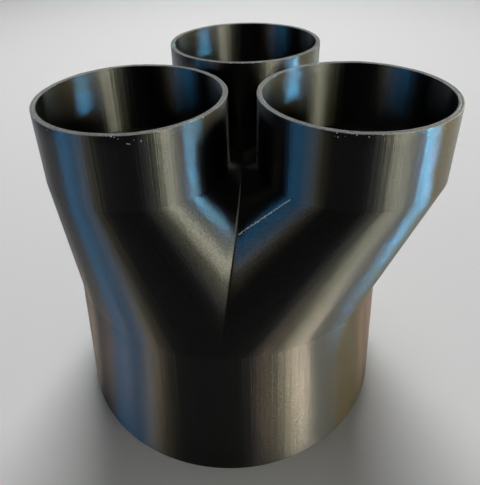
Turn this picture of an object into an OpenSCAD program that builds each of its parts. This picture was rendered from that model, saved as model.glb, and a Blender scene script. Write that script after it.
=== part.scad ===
// Duct splitter with one wide inlet collar below and three round outlet collars above.
// Three slanted legs join the inlet to the outlets, and the whole is one thin-walled shell.
// Origin: centre of the inlet's open lower rim. +Z runs up towards the outlets.

/* [Outlets] */
// Outside diameter of each outlet collar
outlet_d = 100; // [80:2:120]
// Height of the straight outlet collars
outlet_h = 40; // [20:2:80]
// Clear distance between neighbouring outlet collars
outlet_gap = 14.6; // [8:0.2:30]

/* [Inlet] */
// Outside diameter of the inlet collar at its open lower rim
inlet_rim_d = 200; // [180:2:240]
// How much narrower the inlet collar is at its top than at its rim
inlet_taper = 9; // [0:1:16]
// Height of the inlet collar, up to where the legs start
inlet_h = 90; // [40:2:140]

/* [Legs] */
// Height of the slanted legs between the inlet and the outlets
leg_h = 77; // [50:1:140]
// How far the group of outlets stands off the inlet's axis
outlet_shift = 13.6; // [0:0.2:20]
// Direction of that offset, seen from above, counted from +X
shift_direction = 30; // [0:5:355]

/* [Wall] */
// Wall thickness, measured level
wall = 2.8; // [1.6:0.2:4]

/* [Hidden] */
$fn = 96;
// The first outlet stands at the back, on the +Y side, and the others follow a third of a turn apart
outlet_angles = [90, 210, 330];
outlet_r = outlet_d / 2;
rim_r = inlet_rim_d / 2;
top_r = rim_r - inlet_taper / 2;
// Radius of the circle that carries the three outlet axes
pitch_r = (outlet_d + outlet_gap) / sqrt(3);
leg_top_z = inlet_h + leg_h;
// Each leg's ends lie this far inside the round collars, so that the collars cover the legs' edges
leg_inset = 0.3;
// Length of the bevelled end that each leg runs into the collar there, and how much it narrows
leg_end = 1;
leg_bevel = 2.5;
// Length by which the air path runs past an open end
overlap = 1;
// Widening of the inlet per millimetre of depth
inlet_slope = (rim_r - top_r) / inlet_h;

// Axis of one outlet, as a point seen from above
function outlet_xy(angle) = [
    pitch_r * cos(angle) + outlet_shift * cos(shift_direction),
    pitch_r * sin(angle) + outlet_shift * sin(shift_direction)
];

// Shape of one slanted leg, from a circle on the inlet's axis to a circle under an outlet.
// inside is how far it is set in from the outer surface.
module leg(angle, inside) {
    axis = outlet_xy(angle);
    foot_r = top_r - inside - leg_inset;
    head_r = outlet_r - inside - leg_inset;
    hull() {
        translate([0, 0, inlet_h - leg_end])
            cylinder(h = leg_end, r1 = foot_r - leg_bevel, r2 = foot_r, $fn = 64);
        translate([axis[0], axis[1], leg_top_z])
            cylinder(h = leg_end, r1 = head_r, r2 = head_r - leg_bevel, $fn = 64);
    }
}

// Outer shape of the splitter, filled
module outer_shape() {
    cylinder(h = inlet_h, r1 = rim_r, r2 = top_r);
    for (angle = outlet_angles) {
        axis = outlet_xy(angle);
        leg(angle, 0);
        translate([axis[0], axis[1], leg_top_z])
            cylinder(h = outlet_h, r = outlet_r);
    }
}

// Air path inside the splitter, running past the open ends
module air_path() {
    translate([0, 0, -overlap])
        cylinder(h = inlet_h + overlap, r1 = rim_r - wall + inlet_slope * overlap, r2 = top_r - wall);
    for (angle = outlet_angles) {
        axis = outlet_xy(angle);
        leg(angle, wall);
        translate([axis[0], axis[1], leg_top_z])
            cylinder(h = outlet_h + overlap, r = outlet_r - wall);
    }
}

module splitter_body() {
    color([0.09, 0.09, 0.1])
        difference() {
            outer_shape();
            air_path();
        }
}

splitter_body();
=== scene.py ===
import math
import random
import bpy
import numpy as np
from mathutils import Matrix, Vector


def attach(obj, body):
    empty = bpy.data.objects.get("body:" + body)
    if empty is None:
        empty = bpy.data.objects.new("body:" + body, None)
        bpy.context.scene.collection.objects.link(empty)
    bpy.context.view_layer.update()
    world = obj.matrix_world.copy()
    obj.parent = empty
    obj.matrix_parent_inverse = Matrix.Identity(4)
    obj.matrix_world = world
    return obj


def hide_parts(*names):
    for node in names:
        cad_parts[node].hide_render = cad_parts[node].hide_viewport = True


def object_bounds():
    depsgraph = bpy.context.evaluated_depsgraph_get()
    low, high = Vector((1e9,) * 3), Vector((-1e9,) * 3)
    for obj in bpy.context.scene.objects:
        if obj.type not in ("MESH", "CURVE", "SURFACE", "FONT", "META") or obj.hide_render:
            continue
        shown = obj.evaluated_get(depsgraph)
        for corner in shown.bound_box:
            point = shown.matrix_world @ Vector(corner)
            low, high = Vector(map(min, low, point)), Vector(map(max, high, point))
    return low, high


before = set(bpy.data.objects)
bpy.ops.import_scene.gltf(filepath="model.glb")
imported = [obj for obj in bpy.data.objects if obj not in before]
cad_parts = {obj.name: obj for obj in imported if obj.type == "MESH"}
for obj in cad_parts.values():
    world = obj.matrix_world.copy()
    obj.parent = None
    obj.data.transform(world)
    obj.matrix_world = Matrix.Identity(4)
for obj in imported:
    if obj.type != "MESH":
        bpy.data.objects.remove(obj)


def box_list(bounds):
    return [[float(v) for v in corner] for corner in bounds]


cad_box = box_list(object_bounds())

# Sizes of the splitter in metres, as in the CAD source. Radii are those of the outside
MM = 0.001
OUTLET_R = 50 * MM
OUTLET_H = 40 * MM
OUTLET_GAP = 14.6 * MM    # between two outlets
RIM_R = 100 * MM          # inlet at its lower end
TOP_R = 95.5 * MM         # inlet at its top, where the legs begin
INLET_H = 90 * MM
LEG_H = 77 * MM
SHIFT = 13.6 * MM         # from the inlet's axis to the middle of the three outlets
SHIFT_DIR = math.radians(30)
WALL = 2.8 * MM
PITCH = (2 * OUTLET_R + OUTLET_GAP) / math.sqrt(3)   # from that middle to each outlet's axis
LEG_TOP = INLET_H + LEG_H
TOP = LEG_TOP + OUTLET_H
ANGLES = [math.radians(a) for a in (90, 210, 330)]

# Camera, solved from the rims, walls and creases of the photograph
PHOTO_W = 480             # pixels, as are the next four
PHOTO_H = 485
FOCAL = 507.15
CENTRE_X = 222.43
CENTRE_Y = 187.0
AZ = math.radians(4.033)
EL = math.radians(31.030)
ROLL = math.radians(-2.106)
DIST = 0.37585            # metres from the target
TARGET = Vector((-0.00540, 0.04983, 0.105))
SENSOR = 36.0             # mm
CLIP_START = 0.01         # metres

# Finish of the print
EDGE = 0.35 * MM          # rounding of the rims, and depth of the groove between an outlet rim's beads
BEAD_POWER = 0.6          # profile of those beads: 1 is a sine, and less is fuller
FILLET = 0.9 * MM         # bead of plastic along each valley between two legs
FILLET_FADE = 0.25        # share of a leg's height over which that bead grows from nothing
RIM_SINK = 0.35 * MM      # depth of the waves of each outlet's rim
WAVE_COUNTS = (2, 3, 5, 9, 17, 31)   # waves round a rim. The more of them, the lower they are
WAVE_SEED = 7

# Fineness of the mesh
FINE = 3                  # columns for every 3.75 degrees
COLLAR_ROWS = 7
LEG_ROWS = 13
INLET_ROWS = 13
FOOT_ROWS = 4             # across the inlet's lower end
RIM_ROWS = 17             # across the two beads of an outlet's rim
VALLEY_STEPS = 4          # across the bead of a valley
EDGE_STEPS = 4            # across a rounded edge
CRUMB_RINGS = 7
CRUMB_SIDES = 8
MERGE = 2e6               # points are one when they agree to 1 / MERGE of a metre

# Material slots
WALL_SLOT = 0
RIM_SLOT = 1
CRUMB_SLOT = 2

# Third value of a corner's place round its tube, which keeps the marks of different tubes apart. Each outlet
# adds its own number to the first three
OUTER_MARKS = 1.0
INNER_MARKS = 11.0
RIM_MARKS = 21.0
INLET_MARKS = 5.0
INLET_INSIDE_MARKS = 15.0
VALLEY_MARKS = 7.0
CRUMB_MARKS = (0.5, 0.5, 30.0)
VALLEY_APART = 0.03       # metres between the marks of two valleys
VALLEY_LENGTH = 0.09      # metres of marks along a valley


def camera_axes():
    """The camera's right, its up, and the direction from the target to it."""
    back = Vector((math.sin(AZ) * math.cos(EL), -math.cos(AZ) * math.cos(EL), math.sin(EL)))
    right = (-back).cross(Vector((0, 0, 1))).normalized()
    up = right.cross(-back)
    x_axis = math.cos(ROLL) * right + math.sin(ROLL) * up
    y_axis = -math.sin(ROLL) * right + math.cos(ROLL) * up
    return x_axis, y_axis, back


def unit(angle):
    return np.array([math.cos(angle), math.sin(angle)])


CENTRES = [unit(a) * PITCH + unit(SHIFT_DIR) * SHIFT for a in ANGLES]


class Shell:
    """Collects quads with shared points. Each face keeps its region, its material and, at each corner, where
    that corner lies round its own tube, so that marks can run straight along a wall."""

    def __init__(self):
        self.points = []
        self.index = {}
        self.faces = []
        self.regions = []
        self.mats = []
        self.around = []

    def point(self, p):
        key = tuple(int(round(v * MERGE)) for v in p)
        if key not in self.index:
            self.index[key] = len(self.points)
            self.points.append(tuple(float(v) for v in p))
        return self.index[key]

    def face(self, corners, around, region, mat):
        """Keeps the face without its repeated corners, or leaves it out if fewer than three remain."""
        loop = [(v, a) for q, (v, a) in enumerate(zip(corners, around)) if v != corners[q - 1]]
        if len(loop) < 3:
            return
        self.faces.append([v for v, _ in loop])
        self.around.extend(a for _, a in loop)
        self.regions.append(region)
        self.mats.append(mat)

    def strip(self, rings, around, region, mat=WALL_SLOT, closed=True):
        """Joins rings that have the same number of points. around is one vector a column."""
        ids = [[self.point(p) for p in ring] for ring in rings]
        n = len(ids[0])
        for lower, upper in zip(ids[:-1], ids[1:]):
            for i in range(n if closed else n - 1):
                j = (i + 1) % n
                marks = [around[i], around[j], around[j], around[i]]
                self.face([lower[i], lower[j], upper[j], upper[i]], marks, region, mat)

    def build(self, name):
        """Makes the object. Edges between two regions are sharp, unless one of them is soft."""
        mesh = bpy.data.meshes.new(name)
        mesh.from_pydata(self.points, [], self.faces)
        mesh.polygons.foreach_set("use_smooth", [True] * len(mesh.polygons))
        mesh.polygons.foreach_set("material_index", self.mats)
        marks = mesh.attributes.new("around", "FLOAT_VECTOR", "CORNER")
        marks.data.foreach_set("vector", np.array(self.around, dtype=np.float32).ravel())
        owners = {}
        for poly, region in zip(mesh.polygons, self.regions):
            for key in poly.edge_keys:
                owners.setdefault(key, set()).add(region)
        for edge in mesh.edges:
            found = owners.get(tuple(sorted(edge.vertices)), set())
            edge.use_edge_sharp = len(found) > 1 and not any(r.startswith("soft") for r in found)
        mesh.update()
        obj = bpy.data.objects.new(name, mesh)
        bpy.context.scene.collection.objects.link(obj)
        return obj


# Round a leg's own axis, in degrees from the direction of its outlet: where the two neighbouring legs stand,
# and where the arc that faces away from both ends on either side
NEIGHBOURS = (150, 210)
FREE_END = 60
# The columns round one leg: the arc that stays free, then the valleys shared with the two neighbours, each
# with its outer part and the part towards the middle
FREE_N = 32 * FINE
VALLEY_N = 24 * FINE
PIT_N = 8 * FINE


def spread(a, b, n):
    return list(np.linspace(a, b, n, endpoint=False))


COLUMNS = (
    spread(-FREE_END, FREE_END, FREE_N) + spread(FREE_END, NEIGHBOURS[0], VALLEY_N)
    + spread(NEIGHBOURS[0], 180, PIT_N) + spread(180, NEIGHBOURS[1], PIT_N)
    + spread(NEIGHBOURS[1], 360 - FREE_END, VALLEY_N)
)


def round_the(radius, level):
    """Where each column of a leg lies round its tube."""
    angles = [math.radians(p) for p in COLUMNS]
    return [(radius * math.cos(a), radius * math.sin(a), level) for a in angles]


def start_of(psi, foot, head):
    """How far up a leg the line at psi comes out of its neighbours, from 0 at the foot to 1 at the head. The
    values foot and head are the leg's radii there."""
    if psi <= FREE_END or psi >= 360 - FREE_END:
        return 0.0
    beta = math.radians(min(abs(psi - n) for n in NEIGHBOURS))
    half = math.sqrt(3) / 2 * PITCH
    c = max(math.cos(beta), 0.0)
    return foot * c / (half + (foot - head) * c)


def leg_point(k, psi, s, foot, head):
    """Point of leg k at psi degrees and at the share s of its height."""
    x, y = CENTRES[k]
    r = foot + (head - foot) * s
    a = ANGLES[k] + math.radians(psi)
    return (x * s + r * math.cos(a), y * s + r * math.sin(a), INLET_H + LEG_H * s)


def fillet_step(psi, foot, head):
    """How far past the valley line the fillet reaches up the leg. It fades out at the foot, where the valley
    ends."""
    psi = min(psi, 360 - psi)
    s0 = start_of(psi, foot, head)
    lower = leg_point(0, psi, s0, foot, head)
    upper = leg_point(0, psi, 1, foot, head)
    length = math.dist(lower, upper) / (1 - s0)
    return FILLET / length * min(1.0, s0 / FILLET_FADE)


def leg_ring(k, t, foot, head, bead):
    """Ring t of leg k's visible surface, from 0 at its lower edge to 1 at the outlet."""
    out = []
    for psi in COLUMNS:
        s0 = start_of(psi, foot, head) + (fillet_step(psi, foot, head) if bead else 0.0)
        out.append(leg_point(k, psi, s0 + (1 - s0) * t, foot, head))
    return out


def waves(rng):
    """How far each column of a rim sinks, in metres, as on a print whose last layer isn't quite level."""
    total = np.zeros(len(COLUMNS))
    for count in WAVE_COUNTS:
        start = rng.uniform(0, 2 * math.pi)
        total += [math.sin(count * math.radians(p) + start) / math.sqrt(count) for p in COLUMNS]
    return (total - total.min()) / np.ptp(total) * RIM_SINK


WAVE_RNG = random.Random(WAVE_SEED)
RIM_WAVES = [waves(WAVE_RNG) for _ in range(3)]


def ring_at(k, r, z):
    """Ring of outlet k. The collar's upper end follows the waves of its rim."""
    x, y = CENTRES[k]
    share = (z - LEG_TOP) / OUTLET_H
    angles = [ANGLES[k] + math.radians(p) for p in COLUMNS]
    return [
        (x + r * math.cos(a), y + r * math.sin(a), z - share * sink)
        for a, sink in zip(angles, RIM_WAVES[k])
    ]


def inlet_ring(r, z):
    """The free arcs of the three legs make up the whole circle."""
    angles = [a + math.radians(p) for a in ANGLES for p in COLUMNS[:FREE_N]]
    return [(r * math.cos(a), r * math.sin(a), z) for a in angles]


def inlet_radius(z, inside):
    """Radius of the tapered inlet at z, at inside metres from its outer wall."""
    return RIM_R + (TOP_R - RIM_R) * z / INLET_H - inside


def add_valleys(shell, foot, head):
    """Fills each valley between two legs with a small concave bead, and the pit where all three meet."""
    psis = COLUMNS[FREE_N:FREE_N + VALLEY_N + PIT_N] + [180.0]
    pit_ends = []
    for k in range(3):
        neighbour = (k + 1) % 3
        lanes = [[] for _ in range(VALLEY_STEPS + 1)]
        marks = []
        for psi in psis:
            s0 = start_of(psi, foot, head)
            s1 = s0 + fillet_step(psi, foot, head)
            here = np.array(leg_point(k, psi, s1, foot, head))
            floor = np.array(leg_point(k, psi, s0, foot, head))
            there = np.array(leg_point(neighbour, 360 - psi, s1, foot, head))
            for q, lane in enumerate(lanes):
                t = q / VALLEY_STEPS
                lane.append(here * (1 - t) ** 2 + floor * 2 * t * (1 - t) + there * t * t)
            marks.append((VALLEY_APART * k, s0 * VALLEY_LENGTH, VALLEY_MARKS))
        shell.strip(lanes[::-1], marks, f"soft_valley{k}", closed=False)
        pit_ends.append([lane[-1] for lane in lanes])
    rim = [p for ends in pit_ends for p in ends[:-1]]
    middle = np.mean([ends[VALLEY_STEPS // 2] for ends in pit_ends], axis=0)
    for a, b in zip(rim, rim[1:] + rim[:1]):
        ids = [shell.point(a), shell.point(b), shell.point(middle)]
        shell.face(ids, [(0, 0, VALLEY_MARKS)] * 3, "soft_pit", WALL_SLOT)


def quarter(start, end, bulge):
    """Points of a rounded edge from start to end in (radius, height), bulging towards the corner bulge."""
    out = []
    for q in range(EDGE_STEPS + 1):
        a = math.pi / 2 * q / EDGE_STEPS
        out.append(tuple(
            c + (s - c) * (1 - math.sin(a)) + (e - c) * (1 - math.cos(a))
            for s, e, c in zip(start, end, bulge)
        ))
    return out


def rim_profile():
    """Two beads side by side, as (radius, height) from the outside in."""
    out = []
    for u in np.linspace(0, 1, RIM_ROWS):
        bead = abs(math.sin(2 * math.pi * u)) ** BEAD_POWER
        out.append((OUTLET_R - WALL * u, TOP - EDGE * (1 - bead)))
    return out


def add_outlet(shell, k):
    """Collar, rim and bore of outlet k, from the outside in."""
    bore_r = OUTLET_R - WALL
    collar = [ring_at(k, OUTLET_R, z) for z in np.linspace(LEG_TOP, TOP - EDGE, COLLAR_ROWS)]
    rim = [ring_at(k, r, z) for r, z in rim_profile()]
    bore = [ring_at(k, bore_r, z) for z in np.linspace(TOP - EDGE, LEG_TOP, COLLAR_ROWS)]
    shell.strip(collar, round_the(OUTLET_R, OUTER_MARKS + k), f"collar{k}")
    shell.strip(rim, round_the(OUTLET_R, RIM_MARKS + k), f"soft_rim{k}", RIM_SLOT)
    shell.strip(bore, round_the(bore_r, INNER_MARKS + k), f"bore{k}")


def add_leg(shell, k):
    """Both sides of leg k. They carry on the marks of its outlet's collar and bore."""
    rows = np.linspace(0, 1, LEG_ROWS)
    outer = [leg_ring(k, t, TOP_R, OUTLET_R, True) for t in rows]
    inner = [leg_ring(k, t, TOP_R - WALL, OUTLET_R - WALL, False) for t in rows[::-1]]
    shell.strip(outer, round_the(OUTLET_R, OUTER_MARKS + k), f"leg{k}")
    shell.strip(inner, round_the(OUTLET_R - WALL, INNER_MARKS + k), f"leg_inside{k}")


def add_inlet(shell):
    """The inlet's two sides and its lower end, which is rounded at both edges."""
    zs = np.linspace(EDGE, INLET_H, INLET_ROWS)
    outside = [(x, y, INLET_MARKS) for x, y, _ in inlet_ring(RIM_R, 0)]
    inside = [(x, y, INLET_INSIDE_MARKS) for x, y, _ in inlet_ring(RIM_R - WALL, 0)]
    shell.strip([inlet_ring(inlet_radius(z, 0), z) for z in zs], outside, "inlet")
    shell.strip([inlet_ring(inlet_radius(z, WALL), z) for z in zs[::-1]], inside, "inlet_inside")
    r_in, r_out = inlet_radius(0, WALL), inlet_radius(0, 0)
    under = quarter((inlet_radius(EDGE, WALL), EDGE), (r_in + EDGE, 0), (r_in, 0))
    shell.strip([inlet_ring(r, z) for r, z in under], inside, "soft_foot_inside")
    radii = np.linspace(r_in + EDGE, r_out - EDGE, FOOT_ROWS)
    shell.strip([inlet_ring(r, 0) for r in radii], outside, "foot")
    under = quarter((r_out - EDGE, 0), (inlet_radius(EDGE, 0), EDGE), (r_out, 0))
    shell.strip([inlet_ring(r, z) for r, z in under], outside, "soft_foot_outside")


def add_crumb(shell, place, radius, flat=1.0):
    """Blob of plastic with its middle at place on a wall. None is made that would leave the CAD's box."""
    if any(v - radius < low or v + radius > high for v, low, high in zip(place, *cad_box)):
        return
    x, y, z = place
    turns = [math.radians(lon) for lon in range(0, 360, 360 // CRUMB_SIDES)]
    rings = []
    for lat in np.linspace(-90, 90, CRUMB_RINGS):
        out = radius * math.cos(math.radians(lat))
        height = radius * flat * math.sin(math.radians(lat))
        rings.append([(x + out * math.cos(a), y + out * math.sin(a), z + height) for a in turns])
    shell.strip(rings, [CRUMB_MARKS] * CRUMB_SIDES, "crumb", CRUMB_SLOT)


def on_collar(k, psi, depth, sink):
    """Point of collar k, depth below its rim and sink inside its outer wall."""
    x, y = CENTRES[k]
    a = ANGLES[k] + math.radians(psi)
    r = OUTLET_R - sink
    return (x + r * math.cos(a), y + r * math.sin(a), TOP - depth)


def seen_at(k, x, y):
    """Where collar k's outer wall shows at pixel x, y of the photograph: degrees round it from the outlet's
    direction, and mm below its rim, both to a tenth."""
    x_axis, y_axis, back = camera_axes()
    eye = TARGET + DIST * back
    ray = x_axis * ((x - CENTRE_X) / FOCAL) + y_axis * ((CENTRE_Y - y) / FOCAL) - back
    start = np.array(eye)[:2] - CENTRES[k]
    across = np.array(ray)[:2]
    a, b, c = across @ across, start @ across, start @ start - OUTLET_R ** 2
    t = (-b - math.sqrt(b * b - a * c)) / a
    right, away = start + t * across
    psi = math.degrees(math.atan2(away, right) - ANGLES[k]) % 360
    depth = (TOP - eye.z - t * ray.z) / MM
    return round(psi, 1), round(max(depth, SEEN_TOP), 1)


# Crumbs seen in the photograph on the front collars: outlet, pixels from its left and its top, radius in mm
SEEN_CRUMBS = (
    (1, 110.9, 136.5, 0.40), (1, 114.0, 137.3, 0.28), (1, 118, 139, 0.24), (1, 127, 143.8, 0.34),
    (1, 129.2, 144, 0.36), (1, 134, 140, 0.22), (1, 141, 141, 0.38), (1, 203, 115, 0.40),
    (2, 337, 133, 0.34), (2, 338, 137, 0.30), (2, 357, 135, 0.32), (2, 369, 137, 0.32),
    (2, 383, 134, 0.34),
)
SEEN_TOP = 0.6            # least depth below the rim in mm, so that they stay on the wall
# Crumbs at the back collar's rim: degrees from the outlet's direction, radius in mm
BACK_CRUMBS = ((171.0, 0.42), (179.0, 0.36), (186.0, 0.40))
BACK_DEPTH = 0.5          # mm
# The finer ones, random, more of them near the rim
CRUMB_SEED = 21
FINE_CRUMBS = 46          # on each collar
FINE_RADIUS = (0.10, 0.22)           # mm
FINE_SINK = 0.3           # share of the radius
FINE_TOP = 0.4            # least depth below the rim in mm
FINE_RATE = 1.1           # the higher, the nearer to the rim
FINE_REACH = 5.0          # range of that depth in mm


def add_crumbs(shell):
    rng = random.Random(CRUMB_SEED)
    for k, x, y, radius in SEEN_CRUMBS:
        psi, depth = seen_at(k, x, y)
        add_crumb(shell, on_collar(k, psi, depth * MM, 0), radius * MM)
    for psi, radius in BACK_CRUMBS:
        add_crumb(shell, on_collar(0, psi, BACK_DEPTH * MM, 0), radius * MM)
    for k in range(3):
        for _ in range(FINE_CRUMBS):
            psi = rng.uniform(0, 360)
            depth = FINE_TOP + min(rng.expovariate(FINE_RATE), FINE_REACH)
            radius = rng.uniform(*FINE_RADIUS)
            add_crumb(shell, on_collar(k, psi, depth * MM, FINE_SINK * radius * MM), radius * MM)


# Row of blobs up the right leg, where each layer of the print was begun. The crumbs' near-white colour is a
# painted glint on them
SEAM_SEED = 5
SEAM_LEG = 2
SEAM_PSI = 258.5          # degrees from the outlet's direction
SEAM_WANDER = 0.25        # degrees to either side
SEAM_FROM = 0.74          # shares of the leg's height
SEAM_TO = 0.995
SEAM_STEP = (0.003, 0.007)
SEAM_RADIUS = (0.22, 0.42)           # mm
SEAM_FLAT = (0.7, 1.2)    # height of a blob to its width


def add_seam(shell):
    rng = random.Random(SEAM_SEED)
    s = SEAM_FROM
    while s < SEAM_TO:
        psi = SEAM_PSI + rng.uniform(-SEAM_WANDER, SEAM_WANDER)
        radius = rng.uniform(*SEAM_RADIUS) * MM
        add_crumb(shell, leg_point(SEAM_LEG, psi, s, TOP_R, OUTLET_R), radius, rng.uniform(*SEAM_FLAT))
        s += rng.uniform(*SEAM_STEP)


def build_body():
    shell = Shell()
    for k in range(3):
        add_leg(shell, k)
        add_outlet(shell, k)
    add_valleys(shell, TOP_R, OUTLET_R)
    add_inlet(shell)
    add_crumbs(shell)
    add_seam(shell)
    return shell.build("splitter_shell")


class Nodes:
    """A material with short calls for the nodes used here."""

    def __init__(self, name):
        self.mat = bpy.data.materials.new(name)
        self.mat.use_nodes = True
        self.tree = self.mat.node_tree
        self.tree.nodes.clear()
        self.out = self.add("ShaderNodeOutputMaterial")

    def add(self, kind, inputs=None, **props):
        node = self.tree.nodes.new(kind)
        for key, value in props.items():
            setattr(node, key, value)
        for key, value in (inputs or {}).items():
            if isinstance(value, bpy.types.NodeSocket):
                self.tree.links.new(value, node.inputs[key])
            else:
                node.inputs[key].default_value = value
        return node

    def surface(self, kind, inputs):
        """The shader that the material shows."""
        shader = self.add(kind, inputs)
        self.tree.links.new(shader.outputs[0], self.out.inputs[0])
        return shader

    def position(self):
        return self.add("ShaderNodeTexCoord").outputs["Object"]

    def math(self, operation, *values, clamp=False):
        inputs = dict(enumerate(values))
        return self.add("ShaderNodeMath", inputs, operation=operation, use_clamp=clamp).outputs[0]

    def plus(self, a, b, clamp=False):
        return self.math("ADD", a, b, clamp=clamp)

    def minus(self, a, b):
        return self.math("SUBTRACT", a, b)

    def times(self, a, b):
        return self.math("MULTIPLY", a, b)

    def vector(self, operation, *values):
        inputs = dict(enumerate(values))
        return self.add("ShaderNodeVectorMath", inputs, operation=operation).outputs[0]

    def scale(self, vector, factor):
        inputs = {0: vector, "Scale": factor}
        return self.add("ShaderNodeVectorMath", inputs, operation="SCALE").outputs[0]

    def upward(self, vector):
        """Third value of a vector."""
        return self.add("ShaderNodeSeparateXYZ", {0: vector}).outputs[2]

    def remap(self, value, low, high, to_low=0, to_high=1):
        inputs = {0: value, 1: low, 2: high, 3: to_low, 4: to_high}
        return self.add("ShaderNodeMapRange", inputs, clamp=True).outputs[0]

    def mix(self, share, a, b):
        """Colour a, with its share of colour b."""
        return self.add("ShaderNodeMix", {0: share, 6: a, 7: b}, data_type="RGBA").outputs[2]

    def noise(self, coord, size, detail, rough=0.5, stretch=(1, 1, 1)):
        """Noise whose blobs are about size metres across. stretch above 1 squeezes them along that axis."""
        scaled = self.vector("MULTIPLY", coord, tuple(v / size for v in stretch))
        inputs = {"Vector": scaled, "Scale": 1.0, "Detail": detail, "Roughness": rough}
        return self.add("ShaderNodeTexNoise", inputs).outputs[0]

    def layers(self, normal, up, pos):
        """Turns the normal up and down the wall over each printed layer, as on a stack of rounded beads."""
        turn = self.math("FRACT", self.math("DIVIDE", self.upward(pos), LAYER))
        turn = self.times(self.minus(turn, 0.5), 2 * LAYER_BULGE)
        rest = self.math("SQRT", self.minus(1.0, self.times(turn, turn)))
        both = self.vector("ADD", self.scale(normal, rest), self.scale(up, turn))
        return self.vector("NORMALIZE", both)


IOR = 1.5
MIDDLE = 0.5              # mean of a noise

# Walls
BLACKS = ((0.0016, 0.0014, 0.0013, 1), (0.0026, 0.0023, 0.0021, 1))
WALL_ROUGH = 0.30
SPECULAR = 0.3            # mean strength of the gloss
LAYER = 0.3 * MM          # height of one printed layer
LAYER_BULGE = 0.75        # how far each layer's side is rounded, from 0 for flat to 1 for a half round
SLOPE = (0.08, 0.6)       # upward part of the normal where a slope begins, and where it has its full marks
# Sizes of the marks
TONE = 40 * MM            # patches of one black and the other
TONE_RANGE = (0.3, 0.7)   # of that noise, from all the one to all the other
GRAIN = 1.1 * MM          # bumps
SPECK = 0.6 * MM          # finer bumps
BAND = 1.2 * MM           # level bands
STREAK = 2.4 * MM         # broad marks along the wall
LINE = 0.9 * MM           # fine marks along the wall
LEVEL = (0.01, 0.01, 1)   # stretch of the bands
APART = (1, 1, 1000)      # stretch that keeps tubes apart, for marks that run along them
# What the marks do to the roughness
SLOPE_ROUGH = 0.08
GRAIN_ROUGH = 0.06
BAND_ROUGH = 0.05
# Heights of the marks in mm, and the share of the two marks along the wall that a slope takes away
STREAK_HEIGHT = 0.065
LINE_HEIGHT = 0.080
SLOPE_FADE = 0.75
GRAIN_HEIGHT = 0.012
GRAIN_SLOPE_HEIGHT = 0.036
SPECK_SLOPE_HEIGHT = 0.02
# What the marks do to the strength of the gloss
SPECK_GLOSS = 0.14
SPECK_SLOPE_GLOSS = 0.55
LINE_GLOSS = 0.18


def wall_material():
    """Black plastic laid down in level layers: gloss spreads up and down the wall, and marks run along it."""
    n = Nodes("printed_wall")
    pos = n.position()
    around = n.add("ShaderNodeAttribute", attribute_name="around").outputs["Vector"]
    normal = n.add("ShaderNodeNewGeometry").outputs["Normal"]
    slope = n.remap(n.math("ABSOLUTE", n.upward(normal)), *SLOPE)
    side = n.vector("CROSS_PRODUCT", (0, 0, 1), normal)
    up = n.vector("NORMALIZE", n.vector("CROSS_PRODUCT", normal, side))
    tone = n.noise(pos, TONE, detail=3)
    grain = n.noise(pos, GRAIN, detail=1)
    speck = n.noise(pos, SPECK, detail=1)
    band = n.noise(pos, BAND, detail=3, rough=0.7, stretch=LEVEL)
    streak = n.noise(around, STREAK, detail=2, rough=0.6, stretch=APART)
    line = n.noise(around, LINE, detail=2, rough=0.6, stretch=APART)

    rough = n.plus(WALL_ROUGH, n.times(slope, SLOPE_ROUGH))
    rough = n.plus(rough, n.times(n.minus(grain, MIDDLE), GRAIN_ROUGH))
    rough = n.plus(rough, n.times(n.minus(band, MIDDLE), BAND_ROUGH), clamp=True)

    height = n.plus(n.times(streak, STREAK_HEIGHT), n.times(line, LINE_HEIGHT))
    height = n.times(height, n.minus(1.0, n.times(slope, SLOPE_FADE)))
    grain_height = n.plus(GRAIN_HEIGHT, n.times(slope, GRAIN_SLOPE_HEIGHT))
    height = n.plus(height, n.times(grain, grain_height))
    height = n.plus(height, n.times(speck, n.times(slope, SPECK_SLOPE_HEIGHT)))
    bump = n.add("ShaderNodeBump", {"Strength": 1.0, "Distance": MM, "Height": height}).outputs["Normal"]

    speck_gloss = n.plus(SPECK_GLOSS, n.times(slope, SPECK_SLOPE_GLOSS))
    gloss = n.times(n.minus(speck, MIDDLE), speck_gloss)
    gloss = n.plus(gloss, n.times(n.minus(line, MIDDLE), LINE_GLOSS))

    shader = n.surface("ShaderNodeBsdfPrincipled", {
        "Base Color": n.mix(n.remap(tone, *TONE_RANGE), *BLACKS),
        "Roughness": rough,
        "IOR": IOR,
        "Specular IOR Level": n.plus(gloss, SPECULAR),
        "Anisotropic": 1.0,
        "Tangent": up,
        "Normal": n.layers(bump, up, pos),
    })
    # An export that drops the varying gloss keeps its mean
    shader.inputs["Specular IOR Level"].default_value = SPECULAR
    return n.mat


# Rims and crumbs: sizes of the noises, then their ranges, from none to all of what they bring
ROUGH_GRAIN = 0.7 * MM
ROUGH_PATCH = 6 * MM
PALE_RANGE = (0.36, 0.66)
PATCH_RANGE = (0.4, 0.75)
GLOSS_RANGE = (0.2, 0.8)
PATCH_GREY = (0.12, 0.118, 0.114, 1)
ROUGH_BUMP = 0.1 * MM
ROUGH_BUMP_SHARE = 0.6
ROUGH_SPECULAR = 0.4


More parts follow.
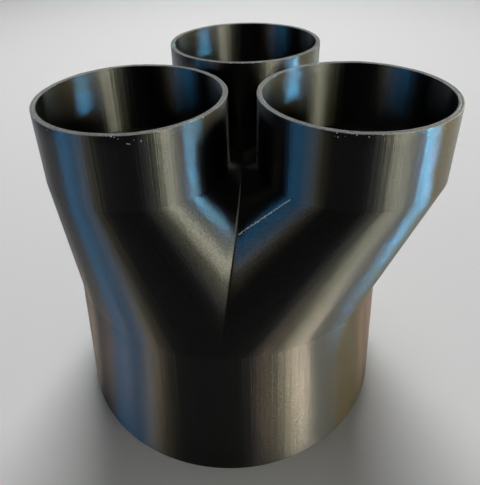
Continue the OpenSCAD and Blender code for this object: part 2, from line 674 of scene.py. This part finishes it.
def rough_sheen_material(name, dark, pale, patches):
    """The same black plastic where it is rough, with its pale grey colour a painted sheen: the top layer of
    each outlet, and the crumbs, where it is a painted glint. The value patches is the strength of its darker
    patches."""
    n = Nodes(name)
    pos = n.position()
    grain = n.noise(pos, ROUGH_GRAIN, detail=4, rough=0.7)
    patch = n.noise(pos, ROUGH_PATCH, detail=3, rough=0.6)
    # Painted sheen: grains between dark and pale grey stand in for the light that the rough top scatters
    colour = n.mix(n.remap(grain, *PALE_RANGE), dark, pale)
    colour = n.mix(n.remap(patch, *PATCH_RANGE, to_high=patches), colour, PATCH_GREY)
    bump_inputs = {"Strength": ROUGH_BUMP_SHARE, "Distance": ROUGH_BUMP, "Height": grain}
    bump = n.add("ShaderNodeBump", bump_inputs).outputs["Normal"]
    n.surface("ShaderNodeBsdfPrincipled", {
        "Base Color": colour,
        "Roughness": n.remap(grain, *GLOSS_RANGE, to_low=0.35, to_high=0.6),
        "IOR": IOR,
        "Specular IOR Level": ROUGH_SPECULAR,
        "Normal": bump,
    })
    return n.mat


WALL_MAT = wall_material()
# Each outlet's rim: black plastic painted grey, a painted sheen of its rough top layer
RIM_SHEEN_MAT = rough_sheen_material(
    "rim_painted_sheen", dark=(0.11, 0.109, 0.104, 1), pale=(0.42, 0.416, 0.402, 1), patches=0.5
)
# Crumbs and seam blobs: real blobs of the plastic, painted near white as a painted glint
CRUMB_GLINT_MAT = rough_sheen_material(
    "crumb_painted_glint", dark=(0.50, 0.48, 0.52, 1), pale=(0.82, 0.80, 0.84, 1), patches=0.1
)

body = build_body()
for material in (WALL_MAT, RIM_SHEEN_MAT, CRUMB_GLINT_MAT):
    body.data.materials.append(material)
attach(body, "root")
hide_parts("splitter_body")

FLOOR_HALF = 6.0          # metres from the middle to each side
FLOOR_COLOUR = (0.8, 0.8, 0.8, 1)


def floor_piece():
    h = FLOOR_HALF
    mesh = bpy.data.meshes.new("floor")
    mesh.from_pydata([(-h, -h, 0), (h, -h, 0), (h, h, 0), (-h, h, 0)], [], [(0, 1, 2, 3)])
    obj = bpy.data.objects.new("floor", mesh)
    bpy.context.scene.collection.objects.link(obj)
    n = Nodes("floor_pale")
    n.surface("ShaderNodeBsdfDiffuse", {"Color": FLOOR_COLOUR})
    mesh.materials.append(n.mat)
    return obj


floor_piece()


def lamp(name, place, aim, size, watts, colour):
    light = bpy.data.lights.new(name, "AREA")
    light.shape = "RECTANGLE"
    light.size, light.size_y = size
    light.energy = watts
    light.color = colour
    obj = bpy.data.objects.new(name, light)
    bpy.context.scene.collection.objects.link(obj)
    obj.location = place
    obj.rotation_euler = (aim - place).to_track_quat("-Z", "Y").to_euler()
    obj.visible_camera = False
    return obj


def from_aim(aim, azimuth, elevation, reach):
    """Azimuth 0 is at the camera's side (-Y) and 90 to its right."""
    a, el = math.radians(azimuth), math.radians(elevation)
    toward = Vector((math.sin(a) * math.cos(el), -math.cos(a) * math.cos(el), math.sin(el)))
    return aim + reach * toward


PANEL_AIM = Vector((0.005, 0.0, 0.12))
PANEL_REACH = 2.0         # distance of every panel from the splitter
PANEL_POWER = 100.0       # watts per square metre of a panel of strength 1
ROW_EL = 11               # elevation of most panels, and how tall they are, in degrees
ROW_TALL = 22
HIGH_EL = 33              # elevation of the panels above them


def panel(name, azimuth, across, colour, strength, elevation=ROW_EL, tall=ROW_TALL, gloss=True):
    """Soft panel, across and tall in degrees as seen from the splitter. One for gloss shows only in the
    plastic's shine, and the others light only what is matt."""
    wide = 2 * PANEL_REACH * math.tan(math.radians(across / 2)) * math.cos(math.radians(elevation))
    high = 2 * PANEL_REACH * math.tan(math.radians(tall / 2))
    place = from_aim(PANEL_AIM, azimuth, elevation, PANEL_REACH)
    watts = PANEL_POWER * strength * wide * high
    obj = lamp(name, place, PANEL_AIM, (wide, high), watts, colour)
    obj.visible_diffuse = not gloss
    obj.visible_glossy = gloss


# Kinds of narrow beam: a high one reaches the collars and the legs, and a low one only the inlet. Angles are
# in degrees, and the size is wide by high
HIGH = {"aim": (0.03, 0.0, 0.165), "elevation": 15, "reach": 2.0, "size": (0.30, 0.14), "spread": 3}
LOW = {"aim": (0.0, 0.0, 0.055), "elevation": 3, "reach": 0.7, "size": (0.26, 0.09), "spread": 12}


def beam(name, azimuth, kind, colour, watts):
    """Narrow beam that shows only in the plastic's shine."""
    aim = Vector(kind["aim"])
    place = from_aim(aim, azimuth, kind["elevation"], kind["reach"])
    obj = lamp(name, place, aim, kind["size"], watts, colour)
    obj.data.spread = math.radians(kind["spread"])
    obj.visible_diffuse = False


WHITE = (1.0, 1.0, 1.0)
# Lights that keep the floor pale and throw the shadow to the front
panel("room_back", 180, 48, WHITE, 0.28, elevation=55, tall=28, gloss=False)
panel("room_top", 180, 120, WHITE, 0.12, elevation=85, tall=33, gloss=False)
# Windows and walls of the room, as the plastic mirrors them: blue on the left, grey and brown on the right
panel("left_blue_far", -83, 8, (0.40, 0.70, 1.0), 0.08)
panel("left_blue", -70, 15, (0.10, 0.50, 1.0), 0.70)
panel("left_blue_near", -60, 5, (0.12, 0.50, 1.0), 0.50)
panel("left_pale", -52.5, 10, (0.42, 0.66, 1.0), 0.60)
panel("left_warm", -45, 5, (1.0, 1.0, 0.82), 0.34)
panel("left_dim", -38, 9, (1.0, 0.85, 0.4), 0.13)
panel("left_back", -130, 40, (0.7, 0.85, 1.0), 0.05)
panel("right_dim", 25, 20, (0.85, 0.88, 1.0), 0.16)
panel("right_grey", 47.5, 10, (1.0, 1.0, 0.83), 1.50)
panel("right_grey_high", 42, 12, (1.0, 0.98, 0.72), 2.15, elevation=HIGH_EL)
panel("right_grey_far", 57.5, 10, (0.97, 1.0, 0.80), 0.74)
panel("right_warm", 67.5, 10, (1.0, 1.0, 0.78), 0.72)
panel("right_brown", 75, 5, (1.0, 0.74, 0.36), 0.62)
panel("right_pale", 82.5, 10, (1.0, 0.76, 0.28), 0.68)
panel("right_side", 95, 15, (1.0, 0.84, 0.42), 0.36)
panel("right_far", 110, 15, (1.0, 0.88, 0.60), 0.22)
panel("right_back", 132, 28, (0.94, 1.0, 0.80), 0.17)
panel("front_high", 29, 13, (1.0, 1.0, 0.3), 0.15, elevation=HIGH_EL)
# The light blue window, which only the collars and the legs mirror, and a table's brown glow low on the inlet
beam("window_near", 66, HIGH, (0.0, 0.32, 1.0), 0.030)
beam("window", 74, HIGH, (0.06, 0.56, 1.0), 0.200)
beam("window_mid", 80, HIGH, (0.10, 0.60, 1.0), 0.170)
beam("window_pale", 78, HIGH, (0.40, 0.86, 1.0), 0.058)
beam("window_far", 86, HIGH, (0.16, 0.62, 1.0), 0.110)
beam("table_edge", -102, LOW, (1.0, 0.70, 0.40), 0.026)
beam("table_left_end", -82, LOW, (1.0, 0.45, 0.10), 0.012)
beam("table_far_left", -67, LOW, (1.0, 0.50, 0.22), 0.014)
beam("table_left", -47, LOW, (1.0, 0.70, 0.36), 0.030)
beam("table_front", 24, LOW, (1.0, 0.62, 0.34), 0.026)
beam("table_pale", 40, LOW, (1.0, 0.70, 0.35), 0.050)
beam("table_right", 48, LOW, (1.0, 0.76, 0.55), 0.140)
beam("table_side", 100, LOW, (1.0, 0.50, 0.24), 0.022)
beam("table_back", 113, LOW, (1.0, 0.45, 0.20), 0.024)

WORLD_STRENGTH = 0.03
world = bpy.data.worlds.new("studio")
bpy.context.scene.world = world
world.use_nodes = True
background = world.node_tree.nodes["Background"]
background.inputs["Color"].default_value = (1, 1, 1, 1)
background.inputs["Strength"].default_value = WORLD_STRENGTH

def make_camera():
    data = bpy.data.cameras.new("camera")
    cam = bpy.data.objects.new("camera", data)
    bpy.context.scene.collection.objects.link(cam)
    x_axis, y_axis, back = camera_axes()
    place = Matrix((x_axis, y_axis, back)).transposed().to_4x4()
    place.translation = TARGET + DIST * back
    cam.matrix_world = place
    data.sensor_width = SENSOR
    data.lens = FOCAL * SENSOR / PHOTO_H
    data.shift_x = (PHOTO_W / 2 - CENTRE_X) / PHOTO_H
    data.shift_y = (CENTRE_Y - PHOTO_H / 2) / PHOTO_H
    data.clip_start = CLIP_START
    bpy.context.scene.camera = cam


make_camera()
bpy.context.scene.view_settings.view_transform = "Standard"
